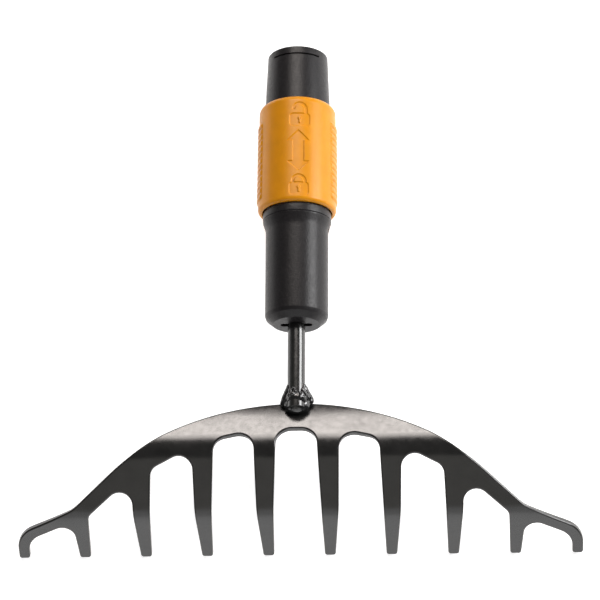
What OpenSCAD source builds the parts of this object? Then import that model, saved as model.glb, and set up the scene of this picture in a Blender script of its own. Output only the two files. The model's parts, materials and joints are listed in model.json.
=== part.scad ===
// Garden rake head with a quick-release handle adaptor.
// Millimetres. Every piece is drawn in the tool's own frame: the socket's axis is +Z, the tines
// curve towards +Y and the foot of the adaptor is at the origin. lie_down() then sets the head
// on the ground, resting on its tine tips and its sleeve, with the socket's mouth towards +Y.

/* [Blade] */
// Distance between neighbouring tines
tine_pitch = 39; // [32:0.1:48]
// Thickness of the blade's sheet
sheet_t = 4; // [3:0.5:5]
// Developed height of the blade, from the crown's top to the tine tips
blade_h = 104.6; // [86:0.2:128]
// Tilt of the crown, towards the front
crown_tilt = 13; // [5:1:18]
// Tilt of the blade's middle, towards the back
middle_tilt = 27; // [18:1:32]
// Tilt of the tines, towards the back
tine_tilt = 53; // [45:1:65]
// Width of a tine at its tip
tip_w = 6.8; // [5:0.1:9]
// Width of a tine at its root
root_w = 16; // [13:0.2:17]

/* [Shank] */
// Diameter of the steel rod
rod_d = 11.2; // [9:0.1:13.4]
// Length of the rod between the adaptor and the blade's top edge
neck_len = 49.8; // [41:0.2:70]
// Width across the rod's pressed ears
ear_w = 19; // [16:0.5:22]

/* [Adaptor] */
// Diameter of the lower moulding
body_d = 40.4; // [38.4:0.2:43.6]
// Length of the lower moulding
body_len = 70.3; // [58:0.1:85]
// Diameter of the handle bore
bore_d = 30.4; // [25:0.1:30.6]
// Diameter of the socket tube at its rim
rim_d = 39.6; // [37:0.2:40]
// Diameter of the socket tube just above the sleeve
tube_d = 42.4; // [40.2:0.1:42.6]
// Length of socket tube that shows above the sleeve
tube_show = 38; // [30:1:50]

/* [Release sleeve] */
// Diameter of the sleeve
sleeve_d = 50.4; // [49.8:0.1:61]
// Length of the sleeve
sleeve_len = 74.5; // [72:0.1:90]
// Travel of the sleeve, from locked to released
sleeve_travel = 12; // [8:0.5:12]
// Travel of each latch key
key_travel = 2; // [1:0.25:2.5]
// Width of a latch key
key_w = 9; // [7:0.5:11]
// Number of ribs on each grip
rib_count = 13; // [8:1:16]

/* [Hidden] */
$fn = 96;

// Clearances
run_gap = 0.15;    // between pieces that slide on each other
seat_gap = 0.05;   // between pieces that are pushed together
free_gap = 0.3;    // between pieces that only pass each other
key_gap = 0.1;     // between a latch key and the cam

// Heights along the socket's axis
body_top = body_len;
spigot_len = 12.5;                              // tube that plugs into the body
collar_h = 5.5;                                 // guide collar
seat_t = 1;                                     // spring seat
sleeve_z = body_top + collar_h + 0.2;           // lower end of the sleeve when locked
sleeve_top = sleeve_z + sleeve_len;
rim_z = sleeve_top + tube_show;
floor_t = 4;
floor_z = body_top + 8;                         // underside of the socket's floor
pad_t = 2;
shoulder_z = sleeve_top - 3.5;                  // where the tube widens
key_h = 6;
stop_t = 1.2;
key_z = shoulder_z - 35;                        // underside of the latch keys
land_z = key_z + key_h + 4;                     // lower end of the land that guides the handle
cam_foot = 6;                                   // guiding land of the cam below the keys
cam_bottom = key_z - cam_foot;
cam_flange = 1.7;                               // collar of the cam that meets the stop ring
cam_top = key_z + key_h + sleeve_travel + free_gap + cam_flange;
stop_z = cam_top + free_gap;

// Radii
bore_r = bore_d / 2;
bore_relief = 0.3;                              // the bore is this much wider below its land
inner_tube_r = bore_r + 2.8;                    // tube inside the sleeve
spigot_r = inner_tube_r - 1.5;
sleeve_wall = 2.7;
sleeve_in_r = sleeve_d / 2 - sleeve_wall;
collar_r = sleeve_in_r - free_gap - 0.05;
cam_r0 = inner_tube_r + run_gap;                // narrow end of the cam's bore
cam_slope = key_travel / sleeve_travel;
rim_chamfer = 1;
cam_step = 0.8;                                 // step in the sleeve above the cam
top_round = 4;                                  // rounding of the sleeve's top corner

// Blade
tine_count = 10;
edge_tines = tine_count / 2 - 1;                // gaps on each side of the middle gap
half_w = (edge_tines + 0.5) * tine_pitch + tip_w / 2;
bend_r1 = 24;
bend_r2 = 30;
bend_s1 = 30.1;                                 // developed height of the first bend
bend_s2 = 72.2;                                 // developed height of the second bend
flank_run = 3.64 * tine_pitch;                  // where the flank meets the shoulder
shoulder_s = 0.653 * blade_h;                   // developed height there
flank_rise = 1.938;                             // height the flank's line would gain by the middle
flank_angle = atan(flank_rise * shoulder_s / flank_run);
shoulder_slope = 0.47;
webs = [18.2, 17.6, 17.1, 13.9, 8.2];           // metal above each gap, from the middle outwards
gap_top = tine_pitch - root_w;
gap_r_in = [0.43, 0.41, 0.37, 0.35, 0.35] * gap_top;
gap_r_out = [0.43, 0.39, 0.35, 0.26, 0.57] * gap_top;
tine_knee = 0.67;                               // share of the height where the taper grows
cut_tilt = 12;                                  // direction in which the outline is punched

crown_y = 8.3;                                  // the crown's top edge, behind the rod's axis
crown_z = -neck_len - 0.6;

// The steel rod
rod_r = rod_d / 2;
rod_end = -neck_len - 5.5;
bush_r = rod_r + 2.3;
bush_z = 13;
bush_len = body_top - spigot_len - bush_z - 11;
rod_top = bush_z + bush_len + 3;
ear_z = 1.5;
ear_t = 4;
ear_h = 10;
foot_bevel = 5;
boss_r = bush_r + 3.4;
foot_z = 5.6;                                     // top of the foot's bevel
pocket_z = 20;                                  // underside of the pockets around the boss
pocket_rib = 2.5;
pin_r = 2;
pin_wall = 0.7;
pin_slit = 0.8;
pin_len = body_d - 1.4;
shank_pin_z = 30;
spigot_pin_z = body_top - 6.5;

// Springs
spring_wire = 1.6;
spring_r = inner_tube_r + 1.9;
spring_z = sleeve_z + seat_t;
spread_wire = 1;
spread_r = inner_tube_r - 1;
spread_z = key_z + key_h / 2;

// ---------- helpers ----------

// Points of a circular arc
function arc(c, r, a0, a1, n) = [for (i = [0 : n]) let (a = a0 + (a1 - a0) * i / n) c + r * [cos(a), sin(a)]];

function unit(v) = v / norm(v);

// One corner p of a path, rounded to the radius r between its neighbours a and b
function corner(a, p, b, r, n) =
    let (u = unit(a - p), v = unit(b - p), half = acos(u * v) / 2,
        c = p + unit(u + v) * r / sin(half),
        s = p + u * r / tan(half) - c,
        e = p + v * r / tan(half) - c,
        a0 = atan2(s[1], s[0]),
        turn = (atan2(e[1], e[0]) - a0 + 540) % 360 - 180)
    r < 0.01 ? [p] : arc(c, r, a0, a0 + turn, n);

// A closed outline from corners [x, y, radius]
function rounded(p, n = 6) = [for (i = [0 : len(p) - 1])
    let (a = p[(i + len(p) - 1) % len(p)], b = p[(i + 1) % len(p)])
    each corner([a[0], a[1]], [p[i][0], p[i][1]], [b[0], b[1]], p[i][2], n)];

// A round piece from an outline of [radius, height] points
module turned(outline) {
    rotate_extrude() polygon(outline);
}

module ring(r_in, r_out, z, h) {
    translate([0, 0, z]) difference() {
        cylinder(r = r_out, h = h);
        translate([0, 0, -1]) cylinder(r = r_in, h = h + 2);
    }
}

// A cylinder from side to side through the axis
module cross(r, z, len) {
    translate([-len / 2, 0, z]) rotate([0, 90, 0]) cylinder(r = r, h = len, $fn = 32);
}

// A round wire along a list of centre points, as one closed solid
module wire(path, r, sides = 8) {
    last = len(path) - 1;
    rings = [for (i = [0 : last])
        let (t = unit(path[min(i + 1, last)] - path[max(i - 1, 0)]),
            n = unit(cross_of(t, [0, 0, 1])),
            b = cross_of(t, n))
        for (k = [0 : sides - 1]) path[i] + r * (cos(360 * k / sides) * n + sin(360 * k / sides) * b)];
    walls = [for (i = [0 : last - 1]) for (k = [0 : sides - 1])
        let (here = i * sides, there = here + sides, turn = (k + 1) % sides)
        [here + k, there + k, there + turn, here + turn]];
    start = [[for (k = [0 : sides - 1]) k]];
    end = [[for (k = [0 : sides - 1]) last * sides + sides - 1 - k]];
    polyhedron(points = rings, faces = concat(walls, start, end));
}

function cross_of(a, b) = [a[1] * b[2] - a[2] * b[1], a[2] * b[0] - a[0] * b[2],
    a[0] * b[1] - a[1] * b[0]];

// ---------- the blade's bent sheet ----------

// Angle of the sheet from straight down, at the developed height s
function bend_angle(s) = s < start_1 ? -crown_tilt
    : s < end_1 ? -crown_tilt + (s - start_1) / bend_r1 * 180 / PI
    : s < start_2 ? middle_tilt
    : s < end_2 ? middle_tilt + (s - start_2) / bend_r2 * 180 / PI
    : tine_tilt;

start_1 = bend_s1 - bend_r1 * (crown_tilt + middle_tilt) * PI / 360;
end_1 = bend_s1 + bend_r1 * (crown_tilt + middle_tilt) * PI / 360;
start_2 = bend_s2 - bend_r2 * (tine_tilt - middle_tilt) * PI / 360;
end_2 = bend_s2 + bend_r2 * (tine_tilt - middle_tilt) * PI / 360;

function along(a) = [sin(a), -cos(a)];
function bow(r, a, b) = r * [cos(a) - cos(b), sin(a) - sin(b)];

mid_0 = [crown_y, crown_z];
mid_1 = mid_0 + start_1 * along(-crown_tilt);
mid_2 = mid_1 + bow(bend_r1, -crown_tilt, middle_tilt);
mid_3 = mid_2 + (start_2 - end_1) * along(middle_tilt);
mid_4 = mid_3 + bow(bend_r2, middle_tilt, tine_tilt);

// Point [y, z] of the sheet's middle at the developed height s
function sheet(s) = s < start_1 ? mid_0 + s * along(-crown_tilt)
    : s < end_1 ? mid_1 + bow(bend_r1, -crown_tilt, bend_angle(s))
    : s < start_2 ? mid_2 + (s - end_1) * along(middle_tilt)
    : s < end_2 ? mid_3 + bow(bend_r2, middle_tilt, bend_angle(s))
    : mid_4 + (s - end_2) * along(tine_tilt);

// The same, h in front of the middle
function skin(s, h) = sheet(s) - h * [cos(bend_angle(s)), sin(bend_angle(s))];

over = 6;                                       // how far the rough sheet runs past its edges
steps_s = concat([-over], [for (i = [0 : 8]) start_1 + (end_1 - start_1) * i / 8],
    [for (i = [0 : 6]) start_2 + (end_2 - start_2) * i / 6], [blade_h]);

module bent_sheet() {
    front = [for (s = steps_s) skin(s, sheet_t / 2)];
    back = [for (i = [len(steps_s) - 1 : -1 : 0]) skin(steps_s[i], -sheet_t / 2)];
    rotate([90, 0, 90]) linear_extrude(2 * half_w + 20, center = true) polygon(concat(front, back));
}

// ---------- the blade's outline, in developed heights ----------

apex_s = shoulder_s - flank_run * tan(flank_angle);
crown_r = -apex_s / (1 / cos(flank_angle) - 1);
crown_end = crown_r * sin(flank_angle);

// Developed height of the top edge at x
function top_s(x) = x < crown_end ? crown_r - sqrt(crown_r * crown_r - x * x)
    : x < flank_run ? apex_s + x * tan(flank_angle)
    : shoulder_s + (x - flank_run) * shoulder_slope;

function tine_x(k) = (k + 0.5) * tine_pitch;
knee_s = blade_h * tine_knee;
// Half-widths of a tine at its knee, towards the middle and towards the outside
knee_in = 0.28 * root_w;
knee_out = 0.4 * root_w;

// Half-width at the developed height s, from the root through the knee to the tip
function half_width(s, knee) = s < knee_s ? root_w / 2 + (knee - root_w / 2) * s / knee_s
    : knee + (tip_w / 2 - knee) * (s - knee_s) / (blade_h - knee_s);

// Edges of tine k: its side nearer the middle, and its outer side
function edge_in(k, s) = tine_x(k) - half_width(s, knee_in);
function edge_out(k, s) = tine_x(k) + half_width(s, knee_out);

// Corners of the gap outside tine k, from the inner tip up, over and down to the outer tip
function gap(k) =
    let (web = webs[k + 1],
        x0 = edge_out(k, top_s(tine_x(k)) + web),
        x1 = edge_in(k + 1, top_s(tine_x(k + 1)) + web),
        s0 = top_s(x0) + web,
        s1 = top_s(x1) + web)
    [[edge_out(k, blade_h + over), blade_h + over, 0],
     if (s0 < knee_s - 12) [edge_out(k, knee_s), knee_s, 0],
     [edge_out(k, s0), s0, gap_r_in[k + 1]], [edge_in(k + 1, s1), s1, gap_r_out[k + 1]],
     if (s1 < knee_s - 8) [edge_in(k + 1, knee_s), knee_s, 0],
     [edge_in(k + 1, blade_h + over), blade_h + over, 0]];

function flip(p) = [for (i = [len(p) - 1 : -1 : 0]) [-p[i][0], p[i][1], p[i][2]]];

middle_gap = let (s = top_s(edge_in(0, 0)) + webs[0])
    [[-edge_in(0, blade_h + over), blade_h + over, 0], [-edge_in(0, knee_s), knee_s, 0],
     [-edge_in(0, s), s, gap_r_in[0]], [edge_in(0, s), s, gap_r_out[0]],
     [edge_in(0, knee_s), knee_s, 0], [edge_in(0, blade_h + over), blade_h + over, 0]];

// The outer side, from the tip up round the shoulder and along the flank to the crown
outer_side = [[half_w, blade_h + over, 0],
    [half_w, shoulder_s + (half_w - flank_run) * shoulder_slope, 17], [flank_run, shoulder_s, 25]];

module outline() {
    right = concat([for (k = [0 : edge_tines - 1]) each gap(k)], outer_side);
    corners = concat(flip(right), middle_gap, right);
    crown = [for (i = [-8 : 8]) [-crown_end * i / 8, top_s(abs(crown_end * i / 8)), 0]];
    path = rounded(concat(corners, crown), 7);
    direction = along(cut_tilt);
    polygon([for (p = path) [p[0], (sheet(p[1]) - mid_0) * direction]]);
}

module outline_prism() {
    translate([0, mid_0[0], mid_0[1]]) rotate([-90 + cut_tilt, 0, 0])
        linear_extrude(220, center = true) outline();
}

module rake_blade() {
    color("#1c1c1e") intersection() {
        bent_sheet();
        outline_prism();
    }
}

// Everything behind the crown's front face
module behind_crown() {
    translate([0, mid_0[0], mid_0[1]]) rotate([-crown_tilt, 0, 0])
        translate([-40, -sheet_t / 2, -60]) cube([80, 60, 120]);
}

// ---------- the shank ----------

module rod_shape() {
    difference() {
        translate([0, 0, rod_end]) cylinder(r = rod_r, h = rod_top - rod_end);
        behind_crown();
    }
}

// Lumps of the weld, from the rod down to its lower rim and out to both sides: [centre, radius]
bead_lumps = [
    [[0, 0.5, 4], rod_r + 0.5],
    [[0, 0.6, -3.4], rod_r + 1.3],
    [[-rod_r - 0.7, 4, -5], 3.8],
    [[rod_r + 2.7, 4, -1], 3.8]];

module weld_bead() {
    color("#232325") difference() {
        hull() for (lump = bead_lumps)
            translate([0, 0, -neck_len]) translate(lump[0]) sphere(r = lump[1], $fn = 24);
        rod_shape();
        behind_crown();
    }
}

module shank_rod() {
    color("#1a1a1c") difference() {
        union() {
            rod_shape();
            translate([-ear_w / 2, -ear_t / 2, ear_z]) cube([ear_w, ear_t, ear_h]);
        }
        cross(pin_r + seat_gap, shank_pin_z, 2 * rod_d);
    }
}

module shank_bush() {
    color("silver") difference() {
        ring(rod_r + seat_gap, bush_r, bush_z, bush_len);
        cross(pin_r + seat_gap, shank_pin_z, 4 * bush_r);
    }
}

// A slit spring pin from side to side
module spring_pin(z, length) {
    difference() {
        cross(pin_r, z, length);
        cross(pin_r - pin_wall, z, length + 2);
        translate([-length / 2 - 1, -pin_slit / 2, z]) cube([length + 2, pin_slit, pin_r + 1]);
    }
}

module shank_pin() {
    color("gray") spring_pin(shank_pin_z, pin_len);
}

// Push-on nut that grips the rod above the boss
module push_nut() {
    nut_z = bush_z + bush_len + 0.1;
    nut_r = boss_r - 1;
    nut_t = 0.8;
    rise = 1.2;
    color("silver") difference() {
        turned([[rod_r + seat_gap, nut_z + rise], [rod_r + 2, nut_z], [nut_r, nut_z],
            [nut_r, nut_z + nut_t], [rod_r + 2.3, nut_z + nut_t], [rod_r + seat_gap, nut_z + nut_t + rise]]);
        for (a = [30 : 60 : 330]) rotate([0, 0, a])
            translate([rod_r - 1, -nut_t / 2, nut_z - 1]) cube([3, nut_t, 5]);
    }
}

// ---------- the adaptor's fixed pieces ----------

module adaptor_body() {
    r = body_d / 2;
    spigot_seat_z = body_top - spigot_len;
    boss_top = bush_z + bush_len;
    ear_room = 0.6;
    color("#3e3e40") difference() {
        turned([[0, 0], [r - foot_bevel, 0], [r - 0.7, foot_z - 2], [r, foot_z],
            [r, body_top - 4], [collar_r, body_top - 0.6], [collar_r, body_top], [0, body_top]]);
        // seat of the socket tube's spigot
        translate([0, 0, spigot_seat_z]) cylinder(r = spigot_r + seat_gap, h = spigot_len + 1);
        // pocket between the wall and the boss, with four ribs left in it
        difference() {
            ring(boss_r, spigot_r - 1, pocket_z, spigot_seat_z - pocket_z + 0.5);
            for (a = [45, 135]) rotate([0, 0, a]) translate([-r, -pocket_rib / 2, pocket_z - 1])
                cube([2 * r, pocket_rib, boss_top - pocket_z + 1]);
        }
        translate([0, 0, boss_top]) cylinder(r = spigot_r - 1, h = spigot_seat_z - boss_top + 1);
        translate([0, 0, bush_z]) cylinder(r = bush_r + seat_gap, h = bush_len + 1);
        translate([0, 0, -1]) cylinder(r = rod_r + seat_gap, h = bush_z + 2);
        translate([-ear_w / 2 - ear_room, -ear_t / 2 - ear_room, -1])
            cube([ear_w + 2 * ear_room, ear_t + 2 * ear_room, 1 + ear_z + ear_h + ear_room]);
        cross(pin_r + seat_gap, shank_pin_z, 3 * r);
        cross(pin_r + seat_gap, spigot_pin_z, 3 * r);
    }
}

module spigot_pin() {
    color("gray") spring_pin(spigot_pin_z, pin_len);
}

module guide_collar() {
    r_in = inner_tube_r + seat_gap;
    z0 = body_top + 0.2;
    z1 = body_top + collar_h;
    color("#38383a") turned([[r_in, z0], [collar_r - 0.4, z0], [collar_r, z0 + 0.4], [collar_r, z1 - 0.6],
        [collar_r - 0.6, z1], [r_in, z1]]);
}

module tube_shape() {
    foot = body_top - spigot_len + seat_gap;
    mouth_flare = 1.2;
    difference() {
        turned([[0, foot], [spigot_r - 0.6, foot], [spigot_r, foot + 0.8], [spigot_r, body_top + 0.1],
            [inner_tube_r, body_top + 0.1], [inner_tube_r, shoulder_z], [tube_d / 2, shoulder_z + 1.2],
            [tube_d / 2, sleeve_top], [rim_d / 2, rim_z - rim_chamfer], [rim_d / 2 - rim_chamfer, rim_z],
            [0, rim_z]]);
        translate([0, 0, land_z]) cylinder(r = bore_r, h = rim_z);
        translate([0, 0, floor_z]) cylinder(r = bore_r + bore_relief, h = land_z - floor_z);
        translate([0, 0, foot - 1]) cylinder(r = bore_r - 2, h = rim_z - foot);
        translate([0, 0, rim_z - 1]) cylinder(r1 = bore_r, r2 = bore_r + mouth_flare, h = mouth_flare);
    }
}

// Slot under the rim, on the front, and the rubber ring behind it
rattle_z = rim_z - 6.5;
rattle_t = 1.6;
rattle_h = 1.9;
slot_h = 1.1;
slot_turn = 96;

module socket_tube() {
    window_w = key_w + 0.2;
    wire_h = spread_wire + 0.4;
    color("#424244") difference() {
        tube_shape();
        rotate([0, 0, -90 - slot_turn / 2]) rotate_extrude(angle = slot_turn)
            translate([bore_r, rattle_z + (rattle_h - slot_h) / 2]) square([rim_d, slot_h]);
        ring(bore_r - 1, bore_r + rattle_t, rattle_z, rattle_h);
        // windows of the latch keys, the spread ring's groove and the stop ring's groove
        for (side = [-1, 1]) translate([side * (bore_r + 1.5) - 3, -window_w / 2, key_z - 0.1])
            cube([6, window_w, key_h + 0.2]);
        ring(spread_r - 0.7, inner_tube_r + 1, spread_z - wire_h / 2, wire_h);
        ring(inner_tube_r - 1, inner_tube_r + 1, stop_z - seat_gap, stop_t + 2 * seat_gap);
        cross(pin_r + seat_gap, spigot_pin_z, 3 * spigot_r);
    }
}

module socket_floor() {
    r = bore_r + bore_relief - seat_gap;
    color("#2e2e30") turned([[0, floor_z], [r - 0.5, floor_z], [r, floor_z + 0.5], [r, floor_z + floor_t],
        [0, floor_z + floor_t]]);
}

module floor_pad() {
    dimple_r = 1.4;
    color("black") translate([0, 0, floor_z + floor_t]) difference() {
        cylinder(r = bore_r - 1.5, h = pad_t);
        for (a = [0 : 45 : 315]) rotate([0, 0, a]) translate([bore_r - 5, 0, pad_t / 2])
            cylinder(r = dimple_r, h = pad_t, $fn = 24);
    }
}

module anti_rattle_ring() {
    color("black") ring(bore_r, bore_r + rattle_t - seat_gap, rattle_z + seat_gap, rattle_h - 2 * seat_gap);
}

module spring_seat() {
    color("silver") ring(inner_tube_r + seat_gap, sleeve_in_r - 1.2, spring_z - seat_t - 0.15, seat_t);
}

module return_spring() {
    turns = 7;
    steps = 22;
    foot = spring_z + spring_wire / 2;
    rise = cam_bottom - spring_z - spring_wire - 0.2;
    flat = 0.06;                                // share of the rise taken by each closed end coil
    color("silver") wire([for (i = [0 : turns * steps])
        let (t = i / steps,
            h = t < 1 ? flat * t
                : t > turns - 1 ? 1 - flat * (turns - t)
                : flat + (1 - 2 * flat) * (t - 1) / (turns - 2))
        [spring_r * cos(360 * t), spring_r * sin(360 * t), foot + rise * h]], 0.49 * spring_wire);
}

// Open ring in the tube's groove that the cam's flange stops against
module stop_ring() {
    opening = 6;
    color("silver") difference() {
        ring(inner_tube_r - 0.95, inner_tube_r + 2.2, stop_z, stop_t);
        translate([-opening / 2, 0, stop_z - 1]) cube([opening, body_d, stop_t + 2]);
    }
}

// ---------- the release sleeve and what it carries ----------

grip_z0 = sleeve_z + 6.5;
grip_h = sleeve_len - 20;
grip_turn = 56;                                 // how far each grip runs around the sleeve
grip_skin = 0.3;                                // rise of a grip between its ribs
rib_pitch = grip_h / rib_count;
rib_rise = 0.9;

module grip() {
    r = sleeve_d / 2;
    root = r - 0.8;                             // a grip starts inside the wall
    top = grip_z0 + grip_h;
    ribs = [for (i = [0 : rib_count - 1]) let (z = grip_z0 + i * rib_pitch)
        each [[r + grip_skin, z], [r + rib_rise, z + 0.35 * rib_pitch],
            [r + rib_rise, z + 0.65 * rib_pitch]]];
    rotate([0, 0, -grip_turn / 2]) rotate_extrude(angle = grip_turn)
        polygon(concat([[root, grip_z0]], ribs, [[r + grip_skin, top], [root, top]]));
}

module release_sleeve() {
    r_low = sleeve_d / 2 + 0.2;
    r_top = sleeve_d / 2 - 0.2;
    low_round = 2.8;
    lip_r = tube_d / 2 + free_gap;
    step_r = sleeve_in_r - cam_step;            // the cam's flange pushes up against this step
    color("#de9628") difference() {
        union() {
            turned(concat(
                arc([r_low - low_round, sleeve_z + low_round], low_round, -84, 0, 8),
                arc([r_top - top_round, sleeve_top - top_round], top_round, 0, 88, 10),
                [[lip_r, sleeve_top], [lip_r, sleeve_top - 6], [step_r, sleeve_top - 7.5],
                    [step_r, cam_top + seat_gap], [sleeve_in_r, cam_top + seat_gap],
                    [sleeve_in_r, sleeve_z]]));
            grip();
            rotate([0, 0, 180]) grip();
        }
        ring(sleeve_in_r - 1, sleeve_in_r + 0.6, cam_bottom - 1.3, 1.2);
    }
}

// The cam's taper, from where it starts just under the keys
taper_z = key_z - 0.5;
module taper(r, h) {
    translate([0, 0, taper_z]) cylinder(r1 = r, r2 = r + h * cam_slope, h = h);
}

// Steel ring whose taper bears on the keys
module cam_ring() {
    color("gray") difference() {
        ring(cam_r0, sleeve_in_r - seat_gap, cam_bottom, cam_top - cam_bottom);
        taper(cam_r0, cam_top - cam_flange - taper_z);
    }
}

module cam_snap_ring() {
    opening = 8;
    color("silver") difference() {
        ring(sleeve_in_r - 0.9, sleeve_in_r + 0.55, cam_bottom - 1.25, 1.1);
        translate([-opening / 2, 0, cam_bottom - 4]) cube([opening, sleeve_d, 6]);
    }
}

// Latch key on the +X side: it stands into the bore and its outer end follows the cam
module lock_key() {
    nose = bore_r - key_travel;
    wire_h = spread_wire + 0.4;
    difference() {
        intersection() {
            translate([nose, -key_w / 2, key_z]) cube([inner_tube_r, key_w, key_h]);
            taper(cam_r0 - key_gap, key_h + 2);
        }
        // lead-in on the nose, facing the mouth
        translate([nose - 1, -key_w, key_z + key_h - 1]) rotate([0, 45, 0]) translate([-2, 0, -2])
            cube([3, 2 * key_w, 6]);
        ring(spread_r - wire_h / 2, spread_r + wire_h / 2, spread_z - wire_h / 2, wire_h);
    }
}

module lock_key_right() {
    color("gainsboro") lock_key();
}

module lock_key_left() {
    color("gainsboro") rotate([0, 0, 180]) lock_key();
}

// Open wire ring threaded through both keys, which spreads them outwards
module key_spread_ring() {
    steps = 40;
    opening = 40;
    color("silver") wire([for (i = [0 : steps]) let (a = 90 + opening / 2 + (360 - opening) * i / steps)
        [spread_r * cos(a), spread_r * sin(a), spread_z]], spread_wire / 2);
}

// ---------- the resting pose ----------

tip = sheet(blade_h) + sheet_t / 2 * [cos(tine_tilt), sin(tine_tilt)];
rest = [sleeve_d / 2 - 0.2, sleeve_top - top_round];  // where the sleeve's shoulder meets the ground
rest_tilt = atan((tip[0] - rest[0]) / (rest[1] - tip[1]));
// Ground height under the axis, and the middle of the head's length, once it lies down
ground = tip[0] * cos(rest_tilt) + tip[1] * sin(rest_tilt);
far_end = rim_z * cos(rest_tilt) + (rim_d / 2 - rim_chamfer) * sin(rest_tilt);
near_tip = skin(blade_h, sheet_t / 2);
near_end = near_tip[1] * cos(rest_tilt) - near_tip[0] * sin(rest_tilt);

module lie_down() {
    translate([0, -(far_end + near_end) / 2, ground]) rotate([-90 - rest_tilt, 0, 0]) children();
}

lie_down() rake_blade();
lie_down() weld_bead();
lie_down() shank_rod();
lie_down() shank_bush();
lie_down() shank_pin();
lie_down() push_nut();
lie_down() adaptor_body();
lie_down() spigot_pin();
lie_down() guide_collar();
lie_down() socket_tube();
lie_down() socket_floor();
lie_down() floor_pad();
lie_down() anti_rattle_ring();
lie_down() spring_seat();
lie_down() return_spring();
lie_down() stop_ring();
lie_down() release_sleeve();
lie_down() cam_ring();
lie_down() cam_snap_ring();
lie_down() lock_key_left();
lie_down() lock_key_right();
lie_down() key_spread_ring();
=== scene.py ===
"""Looks of the garden rake head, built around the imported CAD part.

Shapes are drawn in the tool's own frame, in millimetres: z runs up the socket's axis from the
adaptor's foot, the front is -y and the tines curve towards +y. TOOL turns that into the row frame.
"""

import json
import math

import bmesh
import bpy
import numpy as np
from mathutils import Matrix, Vector, geometry, kdtree, noise


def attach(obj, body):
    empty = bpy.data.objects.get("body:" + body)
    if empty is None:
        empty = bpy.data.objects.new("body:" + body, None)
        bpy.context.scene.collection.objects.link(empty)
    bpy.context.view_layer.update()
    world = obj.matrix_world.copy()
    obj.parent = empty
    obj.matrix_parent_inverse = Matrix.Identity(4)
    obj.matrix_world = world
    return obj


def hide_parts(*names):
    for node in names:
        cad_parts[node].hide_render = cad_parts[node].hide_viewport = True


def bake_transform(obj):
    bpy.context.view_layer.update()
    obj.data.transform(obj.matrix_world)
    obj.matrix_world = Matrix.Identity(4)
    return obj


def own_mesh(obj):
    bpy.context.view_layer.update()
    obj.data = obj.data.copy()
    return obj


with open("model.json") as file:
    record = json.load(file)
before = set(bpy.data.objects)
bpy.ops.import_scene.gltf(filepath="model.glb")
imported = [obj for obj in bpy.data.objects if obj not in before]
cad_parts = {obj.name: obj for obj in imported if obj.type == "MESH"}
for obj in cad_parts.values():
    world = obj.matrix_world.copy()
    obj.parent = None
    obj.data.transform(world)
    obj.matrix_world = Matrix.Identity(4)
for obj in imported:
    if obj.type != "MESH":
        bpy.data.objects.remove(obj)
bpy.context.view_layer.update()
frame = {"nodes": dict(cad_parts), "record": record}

# ---------------------------------------------------------------- the tool's frame
MM = 0.001
mount = next(m for m in frame["record"]["mounts"] if m["name"] == "handle_socket")
axis = Vector(mount["axis"]).normalized()
across = Vector((1, 0, 0))
behind = axis.cross(across)
centre = Vector(mount["pos_m"])
foot = min((v.co - centre).dot(axis) for v in frame["nodes"]["adaptor_body"].data.vertices)
TURN = Matrix((across, behind, axis)).transposed()
TOOL = Matrix.Translation(centre + axis * foot) @ TURN.to_4x4() @ Matrix.Scale(MM, 4)

# Sizes that the CAD source also has
TINE_PITCH = 39.0
SHEET_T = 4.0
BLADE_H = 104.6
CROWN_TILT, MIDDLE_TILT, TINE_TILT = 13.0, 27.0, 53.0
TIP_W = 6.8
ROOT_W = 16.0
ROD_R = 5.6
NECK_LEN = 49.8
EAR_W, EAR_T, EAR_Z, EAR_H = 19.0, 4.0, 1.5, 10.0
BODY_R = 20.2
BODY_TOP = 70.3
BORE_R = 15.2
RIM_R = 19.78
TUBE_R = 21.2
SLEEVE_R = 25.2
SLEEVE_Z = 76.0
SLEEVE_TOP = 150.5
RIM_Z = 188.5
KEY_Z = 112.0
KEY_W = 9.0
KEY_H = 6.0
INNER_TUBE_R = 18.0
SPIGOT_R = 16.5
SLEEVE_IN_R = 22.5
COLLAR_R = 22.15
CAM_TOP = 132.0
CAM_BOTTOM = 106.0
SPRING_Z = 77.0
PIN_HOLE_R = 2.05
ROD_PIN_Z = 30
SPIGOT_PIN_Z = BODY_TOP - 6.5


# ---------------------------------------------------------------- making pieces
def piece(name, verts, faces, body, nodes, mat, normals=None, sharp=35):
    """A mesh drawn in tool millimetres, set in the row frame and tied to its body."""
    mesh = bpy.data.meshes.new(name)
    mesh.from_pydata([tuple(v) for v in verts], [], [tuple(f) for f in faces])
    mesh.validate()
    finish_mesh(mesh, sharp)
    obj = bpy.data.objects.new(name, mesh)
    bpy.context.scene.collection.objects.link(obj)
    mesh.transform(TOOL)
    if normals is not None:
        turned = np.array(normals) @ np.array(TURN).T
        mesh.normals_split_custom_set_from_vertices([tuple(n) for n in turned])
    return tie(obj, body, nodes, mat)


def finish_mesh(mesh, sharp):
    mesh.update()
    mesh.shade_smooth()
    if sharp:
        mesh.set_sharp_from_angle(angle=math.radians(sharp))


def tie(obj, body, nodes, mat):
    obj.data.materials.clear()
    obj.data.materials.append(mat)
    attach(obj, body)
    if nodes:
        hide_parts(*nodes)
    return obj


def face_out(verts, faces):
    """Turns the faces of a closed mesh so that they face outwards."""
    v = np.array(verts)
    volume = 0.0
    for f in faces:
        for i in range(1, len(f) - 1):
            volume += np.dot(v[f[0]], np.cross(v[f[i]], v[f[i + 1]]))
    return [tuple(reversed(f)) for f in faces] if volume < 0 else faces


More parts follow.
